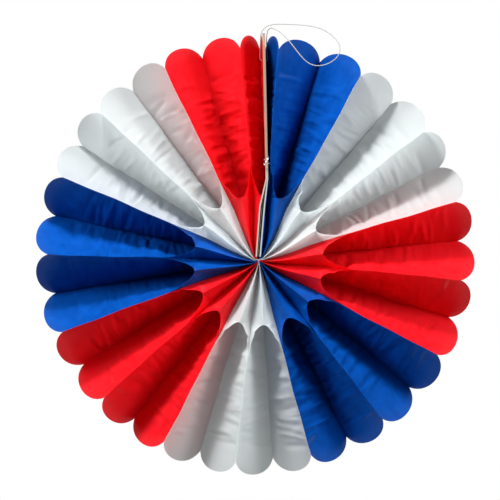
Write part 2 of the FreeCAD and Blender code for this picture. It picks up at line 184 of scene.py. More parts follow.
@dataclass
class FanShape:
    """The opened fan's driving sizes in metres and degrees, and the formulas for its paper.

    Places along a sheet are distances from the hub, and shares are parts of its width.
    """

    sheet_width: float = 63.5 * MM
    sheet_gauge: float = 0.12 * MM
    tip_rise: float = 14.6 * MM
    outline_radius: float = 228.6 * MM
    outline_shift: float = -3.5 * MM
    outline_lift: float = 5.3 * MM
    pocket_apex: float = 67.0 * MM
    pocket_shoulder: float = 103.0 * MM
    back_seam: float = 62.0 * MM
    root_seam: float = 38.0 * MM
    seam_floor: float = 50.0 * MM
    seam_depth: float = 0.31
    seam_power: float = 1.2
    lip_root: float = 50.0 * MM
    lip_share: float = 0.6
    glue_share: float = 0.022
    glue_ease: float = 0.3
    # The last sheet stands off its cover by up to this much, outside the clip.
    last_pocket: float = 2.2 * MM
    clip_half_width: float = 4.5 * MM
    # Waver of the glued folds: its size, the two waves' lengths per radian, the second one's part,
    # where it starts and over what length it grows, and the planes at each cover without it.
    waver_size: float = 0.34 * MM
    waver_scales: tuple[float, float] = (19 * MM, 8.5 * MM)
    waver_second: float = 0.7
    waver_start: float = 60 * MM
    waver_rise: float = 50 * MM
    waver_free: int = 3
    # Where the paper closes up near the hub, in units of card_levels[0]; the last is a share.
    held_radius: float = 1.3
    closing_start: float = 1.28
    closing_length: float = 0.31
    closing_share: float = 0.4
    push_decay: float = 1.15
    card_gauge: float = 1.3 * MM
    card_levels: tuple[float, ...] = (3.6 * MM, 55.3 * MM, 84.0 * MM, 236.1 * MM)
    left_middles: tuple[float, ...] = (-2.3 * MM, 1.5 * MM)
    right_middles: tuple[float, ...] = (1.7 * MM, 6.1 * MM)
    meeting_face: tuple[float, ...] = (8.7 * MM, 5.4 * MM)
    cover_gap: float = 0.05 * MM
    hole_drop: float = 29.1 * MM
    ridge_angles: tuple[float, ...] = (
        5.5, 29.0, 52.0, 73.5, 95.5, 118.0, 142.0, 165.0, 186.5,
        207.5, 228.5, 250.0, 271.5, 293.0, 313.0, 334.0, 355.0,
    )
    sheets_per_block: int = 4
    sheet_count: int = 36

    @property
    def hub(self) -> Point:
        """Place of the hub axis at mid-depth, straight below the hanging hole."""
        top, bend = self.card_levels[3], self.card_levels[2]
        lean = (self.meeting_face[0] - self.meeting_face[1]) / (top - bend)
        return (-(self.meeting_face[1] + self.hole_drop * lean), 0.0, self.hole_drop - top)

    def tissue(self, number: int) -> Tissue:
        """Colour of sheet number 1 to 36."""
        return list(Tissue)[(number - 1) // self.sheets_per_block % len(Tissue)]

    def node(self, number: int) -> str:
        """Name of a sheet's node in the frame."""
        return f"sheet_{number:02d}_{self.tissue(number).value}"

    def cover_face(self, side: Side, level: np.ndarray, share: np.ndarray) -> np.ndarray:
        """Sideways place of a cover's outer face: straight runs between its bends.

        Below its upper bend a cover is twisted: the two stand apart in front and meet behind.

        Args:
            side: Which cover.
            level: Heights above the hub.
            share: Shares of the width, 0 in front and 1 behind.

        Returns:
            Distances to the right of the hub.
        """
        middles = self.left_middles if side is Side.LEFT else self.right_middles
        outward = side.value * (self.card_gauge + self.cover_gap)
        meeting = [face + outward for face in self.meeting_face]
        front = [middle + outward - side.value * self.card_gauge / 2 for middle in middles]
        back = [sum(pair) / 2 + outward for pair in zip(self.left_middles, self.right_middles)]
        ahead = np.interp(level, self.card_levels, front + meeting)
        behind = np.interp(level, self.card_levels, back + meeting)
        return ahead + (behind - ahead) * share

    def cover_angle(self, side: Side, radius: np.ndarray, share: np.ndarray) -> np.ndarray:
        """Angle of a cover's outer face; inside its end the paper closes up, wholly so behind.

        Args:
            side: Which cover.
            radius: Distances from the hub.
            share: Shares of the width, 0 in front and 1 behind.

        Returns:
            Angles in radians. Inside the cover's end they shrink with the distance from the hub.
        """
        end = self.card_levels[0]
        beside = np.maximum(radius, self.held_radius * end)
        across = self.cover_face(side, beside, share)
        level = np.sqrt(np.maximum(beside**2 - across**2, 0.0))
        across = self.cover_face(side, level, share)
        closing = np.clip((self.closing_start * end - radius) / (self.closing_length * end), 0, 1)
        opening = np.clip(radius / end, 0, 1) * (1 - blend(share / self.closing_share))
        return np.arctan2(across, level) * (1 + (opening - 1) * closing)

    def half_gauge(self) -> float:
        """Half of a sheet's thickness: its middle's distance from a glue plane that it touches."""
        return self.sheet_gauge / 2

    def first_pocket(self, radius: np.ndarray, share: np.ndarray) -> np.ndarray:
        """Angle of the plane between the first sheet, flat on the right cover, and the second."""
        return self.cover_angle(Side.RIGHT, radius, share) + 2 * self.half_gauge() / radius

    def last_pocket_angle(self, radius: np.ndarray, share: np.ndarray) -> np.ndarray:
        """Angle of the plane between the last two sheets; the last stands off its cover outwards."""
        start = self.pocket_shoulder + self.clip_half_width
        lift = self.last_pocket * blend((radius - start) / start)
        reach = (2 * self.half_gauge() + lift) / radius
        return 2 * math.pi + self.cover_angle(Side.LEFT, radius, share) - reach

    def open_angle(self, number: int) -> float:
        """Angle in radians of glue plane 2 to 34 far from the hub; pockets lie half-way."""
        if number % 2 == 0:
            return math.radians(self.ridge_angles[number // 2 - 1])
        return (self.open_angle(number - 1) + self.open_angle(number + 1)) / 2

    def plane_angle(self, number: int, radius: np.ndarray, share: np.ndarray) -> np.ndarray:
        """Angle of a glue plane at distances from the hub and shares of the width.

        Away from the hub a plane keeps its own angle and only gives way to a cover that leans over
        it, by the cover's push times a decaying exponential of the angle between them. At the hub
        all planes are evenly spread between the covers.

        Args:
            number: 0 at the right cover, to sheet_count at the left one.
            radius: Distances from the hub.
            share: Shares of the width, 0 in front and 1 behind.

        Returns:
            Angles in radians, clockwise.
        """
        if number == 0:
            return self.cover_angle(Side.RIGHT, radius, share)
        if number == self.sheet_count:
            return 2 * math.pi + self.cover_angle(Side.LEFT, radius, share)
        first = self.first_pocket(radius, share)
        last = self.last_pocket_angle(radius, share)
        if number == 1:
            return first
        if number == self.sheet_count - 1:
            return last
        rim = np.array([self.card_levels[3] - self.tip_rise])
        rim_first = float(self.first_pocket(rim, 0.0)[0])
        rim_last = float(self.last_pocket_angle(rim, 0.0)[0])
        own = self.open_angle(number)
        first_push = np.maximum(first - rim_first, TINY)
        last_push = np.maximum(rim_last - last, TINY)
        angle = own + first_push * np.exp(-(own - rim_first) / (self.push_decay * first_push))
        angle = angle - last_push * np.exp(-(rim_last - own) / (self.push_decay * last_push))
        even = first + (last - first) * (number - 1) / (self.sheet_count - 2)
        closeness = 1 - blend((radius - 2 * self.card_levels[0]) / self.card_levels[1])
        return angle + (even - angle) * closeness + self.waver(number, radius)

    def waver(self, number: int, radius: np.ndarray) -> np.ndarray:
        """Slight sideways unevenness of a glued fold: a sum of two sine waves over the radius.

        There is none near the hub, nor on the planes next to the covers.

        Args:
            number: Number of the glue plane, which seeds the waves' phases.
            radius: Distances from the hub.

        Returns:
            Angles in radians.
        """
        rng = np.random.default_rng(WAVER_SEED + number)
        phase = rng.uniform(0, 2 * math.pi, 2)
        free = self.waver_free < number < self.sheet_count - self.waver_free
        size = self.waver_size if free else 0.0
        first, second = (np.sin(radius / scale + turn) for scale, turn in zip(self.waver_scales, phase))
        wave = first + self.waver_second * second
        return size * blend((radius - self.waver_start) / self.waver_rise) * wave / radius

    def reach(self, angle: float) -> float:
        """Distance from the hub to the round outline, whose centre isn't quite at the hub."""
        along = self.outline_shift * math.sin(angle) + self.outline_lift * math.cos(angle)
        off = self.outline_shift * math.cos(angle) - self.outline_lift * math.sin(angle)
        return along + math.sqrt(self.outline_radius**2 - off**2)

    def end_drop(self, depth: np.ndarray) -> np.ndarray:
        """How far a rounded end falls back from its tip: one circular arc over the whole width."""
        half = self.sheet_width / 2
        arc = (half**2 + self.tip_rise**2) / (2 * self.tip_rise)
        return arc - np.sqrt(arc**2 - depth**2)

    def ridge_seam(self, radius: np.ndarray) -> np.ndarray:
        """Depth of the slanting ridge glue line, as shares of the width.

        It starts at the front edge at the pocket's shoulder and sinks along a quarter of a sine
        wave, raised to the seam power, down to its full depth at the seam floor.
        """
        run = self.pocket_shoulder - self.seam_floor
        along = np.clip((self.pocket_shoulder - radius) / run, 0, 1)
        return self.seam_depth * np.sin(math.pi / 2 * along) ** self.seam_power

    def ridge_share(self, radius: np.ndarray, share: np.ndarray) -> np.ndarray:
        """How far the paper is from its pocket plane (0) to its ridge plane (1).

        The front edge is on the pocket plane inside the apex, on the ridge plane outside the
        shoulder, and between them follows a quarter of an ellipse, so that the pocket's mouth is
        half of one. Behind the edge this eases into a longer smooth step. The back edge is on the
        ridge plane inside the root seam and on the pocket plane outside the back seam. Inwards of
        the shoulder the glue line between two sheets sinks into the ridge from its front edge, and
        a narrow strip on both sides of it is on the ridge plane. Between these lines the paper is
        nearly flat, with its slope easing off a little at the glue.

        Args:
            radius: Distances from the hub.
            share: Shares of the width, 0 in front and 1 behind.

        Returns:
            Shares of the way, of the same shape.
        """
        inward = self.pocket_shoulder - radius
        along = np.clip(inward / (self.pocket_shoulder - self.pocket_apex), 0, 1)
        front = np.sqrt(1 - along**2)
        back = 1 - blend((radius - self.root_seam) / (self.back_seam - self.root_seam))
        seam = self.ridge_seam(radius)
        strip = np.minimum(self.glue_share, seam / 2)
        ahead = np.clip(share / np.maximum(seam - strip, TINY), 0, 1)
        behind = np.clip((share - seam - strip) / np.maximum(1 - seam - strip, TINY), 0, 1)
        ahead = ahead + self.glue_ease * (blend(ahead) - ahead)
        behind = behind + self.glue_ease * (blend(behind) - behind)
        bulge = 1 - blend(inward / (self.pocket_shoulder - self.lip_root))
        lip = front + (bulge - front) * blend(ahead / self.lip_share)
        before = lip + (1 - lip) * ahead
        after = 1 + (back - 1) * behind
        return np.where(share < seam, before, after)


# Helpers for shader nodes, and the node groups that the finishes share


def add_node(tree: bpy.types.NodeTree, kind: str, **values: object) -> bpy.types.Node:
    """Adds a node and sets its own properties and its inputs by name.

    Args:
        tree: Tree to add to.
        kind: Blender's type name, without ShaderNode.
        values: Properties in lower case, or inputs by their names with _ for spaces.

    Returns:
        The new node.
    """
    node = tree.nodes.new(f"ShaderNode{kind}")
    for name, value in values.items():
        if name[0].islower():
            setattr(node, name, value)
        else:
            node.inputs[name.replace("_", " ")].default_value = value
    return node


def add_tint(tree: bpy.types.NodeTree, first: Rgb | None, second: Rgb | None) -> bpy.types.Node:
    """Adds a mix of two colours, inputs 6 and 7; one that is None is linked by the caller."""
    node = add_node(tree, "Mix", data_type="RGBA")
    for number, colour in ((6, first), (7, second)):
        if colour is not None:
            node.inputs[number].default_value = (*colour, 1)
    return node


def new_material(name: str) -> tuple[bpy.types.Material, bpy.types.NodeTree, bpy.types.Node]:
    """Makes a material and returns it with its node tree and its Principled shader."""
    made = bpy.data.materials.new(name)
    made.use_nodes = True
    return made, made.node_tree, made.node_tree.nodes["Principled BSDF"]


def wire(tree: bpy.types.NodeTree, *routes: Route) -> None:
    """Links nodes; a route is a node, its output, the node that it leads to, and that one's input."""
    for source, output, target, place in routes:
        tree.links.new(source.outputs[output], target.inputs[place])


def use_group(tree: bpy.types.NodeTree, group: bpy.types.NodeTree, **values: float) -> bpy.types.Node:
    """Places a node group in a material with its own values."""
    node = tree.nodes.new("ShaderNodeGroup")
    node.node_tree = group
    for name, value in values.items():
        node.inputs[name].default_value = value
    return node


def new_group(
    name: str, inputs: tuple[str, ...], outputs: tuple[str, ...]
) -> tuple[bpy.types.NodeTree, bpy.types.Node, bpy.types.Node]:
    """Makes a node group with sockets for numbers.

    Args:
        name: Name of the group.
        inputs: Names of its inputs, which each use of the group sets.
        outputs: Names of its outputs.

    Returns:
        The group, its inlet and its outlet.
    """
    group = bpy.data.node_groups.new(name, "ShaderNodeTree")
    for way, names in (("INPUT", inputs), ("OUTPUT", outputs)):
        for socket in names:
            group.interface.new_socket(socket, in_out=way, socket_type="NodeSocketFloat")
    return group, group.nodes.new("NodeGroupInput"), group.nodes.new("NodeGroupOutput")


def paper_grain_group() -> bpy.types.NodeTree:
    """The fine look of paper: upright fibres and a cloudy thickness.

    Returns:
        A node group with inputs Fibre and Cloud (strengths), and outputs Height and Tone.
    """
    group, inlet, outlet = new_group("PaperGrain", ("Fibre", "Cloud"), ("Height", "Tone"))
    place = add_node(group, "TexCoord")
    along = add_node(group, "Mapping", Scale=(1400.0, 1400.0, 420.0))
    fibre = add_node(group, "TexNoise", Scale=1.0, Detail=4.0, Roughness=0.65)
    cloud = add_node(group, "TexNoise", Scale=85.0, Detail=5.0, Roughness=0.6)
    fibre_part, cloud_part = (add_node(group, "Math", operation="MULTIPLY") for _ in range(2))
    height = add_node(group, "Math", operation="ADD")
    wire(
        group,
        (place, "Object", along, "Vector"),
        (along, "Vector", fibre, "Vector"),
        (place, "Object", cloud, "Vector"),
        (fibre, "Fac", fibre_part, 0),
        (inlet, "Fibre", fibre_part, 1),
        (cloud, "Fac", cloud_part, 0),
        (inlet, "Cloud", cloud_part, 1),
        (fibre_part, 0, height, 0),
        (cloud_part, 0, height, 1),
        (height, 0, outlet, "Height"),
        (cloud, "Fac", outlet, "Tone"),
    )
    return group


def crinkle_group() -> bpy.types.NodeTree:
    """Cross crinkles of stretched tissue, on the sheet's own map; the rounded ends stay smooth.

    Returns:
        A node group with input Amount, and output Height: noise drawn out across the sheet, which
        fades towards the hub and towards the tip.
    """
    group, inlet, outlet = new_group("SheetCrinkle", ("Amount",), ("Height",))
    place = add_node(group, "UVMap", uv_map="Sheet")
    spread = add_node(group, "Mapping", Scale=(12.0, 85.0, 1.0))
    noise = add_node(group, "TexNoise", Scale=1.0, Detail=1.5, Roughness=0.45, Distortion=0.5)
    split = add_node(group, "SeparateXYZ")
    smooth = {"interpolation_type": "SMOOTHSTEP"}
    inner = add_node(group, "MapRange", From_Min=0.06, From_Max=0.11, **smooth)
    outer = add_node(group, "MapRange", From_Min=0.205, From_Max=0.165, **smooth)
    window, part, whole = (add_node(group, "Math", operation="MULTIPLY") for _ in range(3))
    wire(
        group,
        (place, "UV", spread, "Vector"),
        (place, "UV", split, "Vector"),
        (split, "Y", inner, "Value"),
        (split, "Y", outer, "Value"),
        (inner, "Result", window, 0),
        (outer, "Result", window, 1),
        (spread, "Vector", noise, "Vector"),
        (noise, "Fac", part, 0),
        (inlet, "Amount", part, 1),
        (part, 0, whole, 0),
        (window, 0, whole, 1),
        (whole, 0, outlet, "Height"),
    )
    return group


# Finishes


@dataclass(frozen=True)
class TissueFinish:
    """Thin dyed tissue paper with a satin face that lets some light through.

    The dye goes from deep to colour with the cloudy thickness of the paper. shine is the specular
    level, through the share of light that is scattered through, and crinkle the crinkles' height.
    """

    name: str
    colour: Rgb
    deep: Rgb
    roughness: float
    shine: float
    through: float
    crinkle: float
    roughness_spread: float = 0.06

    def material(self, grain: bpy.types.NodeTree, crinkle: bpy.types.NodeTree) -> bpy.types.Material:
        """Builds the material.

        Args:
            grain: The paper grain group.
            crinkle: The sheet crinkle group.

        Returns:
            A mix of a Principled face and a Translucent share for the light behind.
        """
        made, tree, face = new_material(self.name)
        out = tree.nodes["Material Output"]
        face.inputs["Specular IOR Level"].default_value = self.shine
        glow = add_node(tree, "BsdfTranslucent")
        glow.inputs["Color"].default_value = (*self.colour, 1)
        mix = add_node(tree, "MixShader", Fac=self.through)
        grained = use_group(tree, grain, Fibre=0.5, Cloud=0.5)
        crinkled = use_group(tree, crinkle, Amount=self.crinkle)
        tone = add_node(tree, "MapRange", From_Min=0.3, From_Max=0.7)
        dye = add_tint(tree, self.deep, self.colour)
        rough = add_node(tree, "MapRange", From_Min=0.25, From_Max=0.75)
        rough.inputs["To Min"].default_value = self.roughness - self.roughness_spread
        rough.inputs["To Max"].default_value = self.roughness + self.roughness_spread
        fine = add_node(tree, "Bump", Strength=0.18, Distance=0.0002)
        wide = add_node(tree, "Bump", Strength=0.9, Distance=0.0055)
        wire(
            tree,
            (grained, "Tone", tone, "Value"),
            (tone, "Result", dye, 0),
            (dye, 2, face, "Base Color"),
            (grained, "Tone", rough, "Value"),
            (rough, "Result", face, "Roughness"),
            (crinkled, "Height", wide, "Height"),
            (wide, "Normal", fine, "Normal"),
            (grained, "Height", fine, "Height"),
            (fine, "Normal", face, "Normal"),
            (face, "BSDF", mix, 1),
            (glow, "BSDF", mix, 2),
            (mix, "Shader", out, "Surface"),
        )
        return made


@dataclass(frozen=True)
class CardFinish:
    """Grey-white board; its cut edges show brown pulp at the top and painted grey shade below the clip.
    """

    name: str = "CoverBoard"
    face_colour: Rgb = (0.5, 0.5, 0.46)
    edge_colour: Rgb = (0.34, 0.24, 0.16)
    core_colour: Rgb = (0.2, 0.15, 0.11)
    # Painted shade: the grey that the cut edges take below the clip, faded in between these heights.
    gap_shade_colour: Rgb = (0.42, 0.42, 0.38)
    shade_levels: tuple[float, float] = (-0.135, -0.1)
    face_normal: float = 0.6
    roughness: float = 0.8
    shine: float = 0.25

    def material(self, grain: bpy.types.NodeTree) -> bpy.types.Material:
        """Builds the material: face colour where the normal lies along X, pulp or painted shade
        elsewhere.
        """
        made, tree, face = new_material(self.name)
        face.inputs["Specular IOR Level"].default_value = self.shine
        face.inputs["Roughness"].default_value = self.roughness
        shape = add_node(tree, "NewGeometry")
        split = add_node(tree, "SeparateXYZ")
        flat = add_node(tree, "Math", operation="ABSOLUTE")
        rim = add_node(tree, "Math", operation="LESS_THAN")
        rim.inputs[1].default_value = self.face_normal
        place = add_node(tree, "TexCoord")
        pulp = add_node(tree, "Mapping", Scale=(900.0, 200.0, 60.0))
        fibre = add_node(tree, "TexNoise", Scale=1.0, Detail=4.0)
        edge = add_tint(tree, self.core_colour, self.edge_colour)
        # Painted shade: below the clip the edges' pulp gives way to grey.
        low = add_tint(tree, self.gap_shade_colour, None)
        height = add_node(tree, "SeparateXYZ")
        start, stop = self.shade_levels
        shade_fade = add_node(tree, "MapRange", From_Min=start, From_Max=stop)
        whole = add_tint(tree, self.face_colour, None)
        grained = use_group(tree, grain, Fibre=0.6, Cloud=0.4)
        bump = add_node(tree, "Bump", Strength=0.3, Distance=0.0002)
        wire(
            tree,
            (shape, "Normal", split, "Vector"),
            (split, "X", flat, 0),
            (flat, 0, rim, 0),
            (place, "Object", pulp, "Vector"),
            (pulp, "Vector", fibre, "Vector"),
            (fibre, "Fac", edge, 0),
            (place, "Object", height, "Vector"),
            (height, "Z", shade_fade, "Value"),
            (shade_fade, "Result", low, 0),
            (edge, 2, low, 7),
            (low, 2, whole, 7),
            (rim, 0, whole, 0),
            (whole, 2, face, "Base Color"),
            (grained, "Height", bump, "Height"),
            (bump, "Normal", face, "Normal"),
        )
        return made


@dataclass(frozen=True)
class WireFinish:
    """Bright zinc-plated wire, faintly drawn along its length."""

    name: str = "PlatedWire"
    colour: Rgb = (0.86, 0.87, 0.88)
    shade: float = 0.82
    roughness: tuple[float, float] = (0.16, 0.32)

    def material(self) -> bpy.types.Material:
        """Builds the material: metal with a fine cloudy roughness."""
        made, tree, metal = new_material(self.name)
        metal.inputs["Metallic"].default_value = 1.0
        place = add_node(tree, "TexCoord")
        noise = add_node(tree, "TexNoise", Scale=900.0, Detail=3.0)
        rough = add_node(tree, "MapRange", To_Min=self.roughness[0], To_Max=self.roughness[1])
        tint = add_tint(tree, self.colour, tuple(self.shade * part for part in self.colour))
        wire(
            tree,
            (place, "Object", noise, "Vector"),
            (noise, "Fac", rough, "Value"),
            (rough, "Result", metal, "Roughness"),
            (noise, "Fac", tint, 0),
            (tint, 2, metal, "Base Color"),
        )
        return made


@dataclass(frozen=True)
class StringFinish:
    """Unbleached cotton with fine fuzz."""

    name: str = "CottonString"
    colour: Rgb = (0.4, 0.39, 0.37)
    hollow: Rgb = (0.22, 0.21, 0.19)
    roughness: float = 0.9
    shine: float = 0.15

    def material(self) -> bpy.types.Material:
        """Builds the material: two tones of cotton by a fine noise, rough and slightly bumped."""
        made, tree, cotton = new_material(self.name)
        cotton.inputs["Roughness"].default_value = self.roughness
        cotton.inputs["Specular IOR Level"].default_value = self.shine
        place = add_node(tree, "TexCoord")
        noise = add_node(tree, "TexNoise", Scale=2600.0, Detail=3.0)
        tint = add_tint(tree, self.hollow, self.colour)
        spread = add_node(tree, "MapRange", From_Min=0.25, From_Max=0.55)
        bump = add_node(tree, "Bump", Strength=0.5, Distance=0.0001)
        wire(
            tree,
            (place, "Object", noise, "Vector"),
            (noise, "Fac", spread, "Value"),
            (spread, "Result", tint, 0),
            (tint, 2, cotton, "Base Color"),
            (noise, "Fac", bump, "Height"),
            (bump, "Normal", cotton, "Normal"),
        )
        return made


TISSUES = {
    Tissue.BLUE: TissueFinish(
        name="BlueTissue",
        colour=(0.001, 0.078, 0.4),
        deep=(0.0008, 0.054, 0.3),
        roughness=0.42,
        shine=0.14,
        through=0.08,
        crinkle=1.0,
    ),
    Tissue.WHITE: TissueFinish(
        name="WhiteTissue",
        colour=(0.92, 0.945, 0.945),
        deep=(0.885, 0.915, 0.915),
        roughness=0.5,
        shine=0.2,
        through=0.7,
        crinkle=0.9,
    ),
    Tissue.RED: TissueFinish(
        name="RedTissue",
        colour=(0.98, 0.02, 0.035),
        deep=(0.95, 0.011, 0.022),
        roughness=0.42,
        shine=0.4,
        through=0.5,
        crinkle=0.6,
    ),
}


# Sub-assemblies


@dataclass
class PleatedPaper:
    """The 36 tissue sheets, each one closed thin skin that follows the fan's glue planes."""

    shape: FanShape
    columns: int = 33
    edge_crowding: float = 0.55
    # Cross lines of a sheet's grid; the unit of hub_rows and root_start is card_levels[0].
    hub_rows: tuple[float, ...] = (0.14, 0.4, 0.7, 0.97, 1.07, 1.18, 1.3)
    root_start: float = 1.8
    root_rows: int = 36
    mouth_rows: int = 27
    far_rows: int = 64
    tip_rows: int = 12
    tip_room: float = 12 * MM
    thinnest_share: float = 0.4
    map_step: float = 0.11
    # Creases: heights as parts of the highest, odds of the two ways, widths and places, then
    # leans, bows and ends as shares of the sheet's width.
    crease_count: int = 17
    crease_height: float = 2.0 * MM
    crease_heights: tuple[float, float] = (0.35, 1.0)
    crease_signs: tuple[float, float] = (0.35, 0.65)
    crease_widths: tuple[float, float] = (1.8 * MM, 3.2 * MM)
    crease_shift: float = 4 * MM
    crease_range: tuple[float, float] = (72 * MM, 196 * MM)
    crease_lean: float = 0.16
    crease_bows: tuple[float, float] = (-0.1, 0.16)
    crease_starts: tuple[float, float] = (-0.3, 0.35)
    crease_lengths: tuple[float, float] = (0.55, 1.1)
    crease_fade: float = 0.25
    glue_margin: float = 0.12

    def rows(self) -> np.ndarray:
        """Distances of a sheet's cross lines, closest at the hub and at the pocket's apex."""
        shape = self.shape
        turn = np.linspace(0, math.pi / 2, self.mouth_rows)
        mouth = shape.pocket_shoulder - (shape.pocket_shoulder - shape.pocket_apex) * np.cos(turn)
        start = shape.outline_radius - shape.outline_lift - shape.tip_rise - self.tip_room
        end = shape.card_levels[0]
        hub = np.array(self.hub_rows) * end
        root = np.linspace(self.root_start * end, shape.pocket_apex, self.root_rows, endpoint=False)
        far = np.linspace(shape.pocket_shoulder, start, self.far_rows)[1:]
        return np.concatenate([hub, root, mouth, far])

    def creases(self, number: int, radius: np.ndarray, share: np.ndarray) -> np.ndarray:
        """Soft cross crinkles: crests that run across the sheet, each over a part of its width.

        A crest is its height times the inverse square of cosh of the distance over its width,
        times a smooth window across the sheet. It leans and bows a little, so that no two run alike.

        Args:
            number: Sheet number, which seeds the crests.
            radius: Distances from the hub.
            share: Shares of the width from the front.

        Returns:
            Shifts in metres, towards the sheet's higher angle.
        """
        rng = np.random.default_rng(CREASE_SEED + number)
        count = self.crease_count
        whole = self.shape.sheet_width
        spot = np.linspace(*self.crease_range, count)
        spot = spot + rng.uniform(-self.crease_shift, self.crease_shift, count)
        width = rng.uniform(*self.crease_widths, count)
        height = self.crease_height * rng.uniform(*self.crease_heights, count)
        height = height * rng.choice([-1, 1], count, p=self.crease_signs)
        lean = rng.uniform(-self.crease_lean, self.crease_lean, count) * whole
        bow = rng.uniform(*self.crease_bows, count) * whole
        start = rng.uniform(*self.crease_starts, count)
        stop = start + rng.uniform(*self.crease_lengths, count)
        spread = (slice(None), None, None)
        line = spot[spread] + lean[spread] * (share - 0.5) + bow[spread] * (share - 0.5) ** 2
        crest = 1 / np.cosh((radius - line) / width[spread]) ** 2
        window = blend((share - start[spread]) / self.crease_fade)
        window = window * blend((stop[spread] - share) / self.crease_fade)
        return (height[spread] * crest * window).sum(axis=0)

    def surface(self, number: int) -> tuple[np.ndarray, np.ndarray, np.ndarray]:
        """Works out both faces of a sheet as grids.

        The paper's middle lies between its two glue planes, by the fan's ridge share and the
        creases, which fade out at the planes. Each face is half the gauge off it, or less where
        the planes run together. Columns crowd towards the sheet's edges by part of a cosine.

        Args:
            number: Sheet number from 1 to 36.

        Returns:
            The face on the lower angle, the face on the higher angle, and the map coordinates.
        """
        shape = self.shape
        even = np.linspace(0, 1, self.columns)
        share = 0.5 - 0.5 * np.cos(math.pi * even)
        share = self.edge_crowding * share + (1 - self.edge_crowding) * even
        depth = (share - 0.5) * shape.sheet_width
        rim = np.array([shape.outline_radius])
        low_rim, high_rim = (float(shape.plane_angle(n, rim, 0.0)[0]) for n in (number - 1, number))
        tip = shape.reach((low_rim + high_rim) / 2) - shape.end_drop(depth)
        lines = self.rows()
        steps = np.linspace(0, 1, self.tip_rows + 1)[1:, None]
        inner = np.repeat(lines[:, None], self.columns, axis=1)
        outer = lines[-1] + (tip[None, :] - lines[-1]) * steps
        radius = np.concatenate([inner, outer])
        share = np.broadcast_to(share, radius.shape)
        low = shape.plane_angle(number - 1, radius, share)
        high = shape.plane_angle(number, radius, share)
        way = shape.ridge_share(radius, share)
        free = blend(np.minimum(way, 1 - way) / self.glue_margin)
        if number % 2 == 1:
            way = 1 - way
        between = (high - low) * radius
        margin = np.minimum(shape.half_gauge(), self.thinnest_share * between)
        room = between - 2 * margin
        along = margin + np.clip(way * room + free * self.creases(number, radius, share), 0, room)
        grids = []
        for outward in (-1, 1):
            angle = low + (along + outward * margin) / radius
            depth_grid = (share - 0.5) * shape.sheet_width
            grid = np.stack([radius * np.sin(angle), depth_grid, radius * np.cos(angle)], axis=-1)
            grids.append(grid + np.array(shape.hub))
        uv = np.stack([share * shape.sheet_width + self.map_step * number, radius], axis=-1)
        return grids[0], grids[1], uv

    def build(self, number: int) -> bpy.types.Object:
        """Builds one sheet as a closed skin."""
        lower, upper, uv = self.surface(number)
        rows, columns = lower.shape[:2]
        points = np.concatenate([lower.reshape(-1, 3), upper.reshape(-1, 3)])
        both = np.concatenate([uv.reshape(-1, 2), uv.reshape(-1, 2)])
        name = f"tissue_{number:02d}_{self.shape.tissue(number).value}"
        return mesh_object(name, points, grid_quads(rows, columns), both)

    def dress(self, finishes: dict[Tissue, bpy.types.Material]) -> None:
        """Builds every sheet, gives it its tissue and puts it in its node's place."""
        for number in range(1, self.shape.sheet_count + 1):
            tissue = self.shape.tissue(number)
            piece = self.build(number)
            piece.data.materials.append(finishes[tissue])
            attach(piece, "root")
            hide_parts(self.shape.node(number))
        log.info("%d tissue sheets", self.shape.sheet_count)


@dataclass
class CoverSet:
    """The two card covers and the wire clip, which keep their solid shapes."""

    covers: tuple[str, str] = ("left_card", "right_card")
    clip: str = "closing_clip"

    def dress(self, board: bpy.types.Material, plated: bpy.types.Material) -> None:
        """Gives the covers their board and the clip its plated wire."""
        for name, finish in ((self.covers[0], board), (self.covers[1], board), (self.clip, plated)):
            piece = bpy.data.objects[name]
            for slot in piece.material_slots:
                slot.material = finish
            if not piece.material_slots:
                piece.data.materials.append(finish)
        log.info("covers and clip")


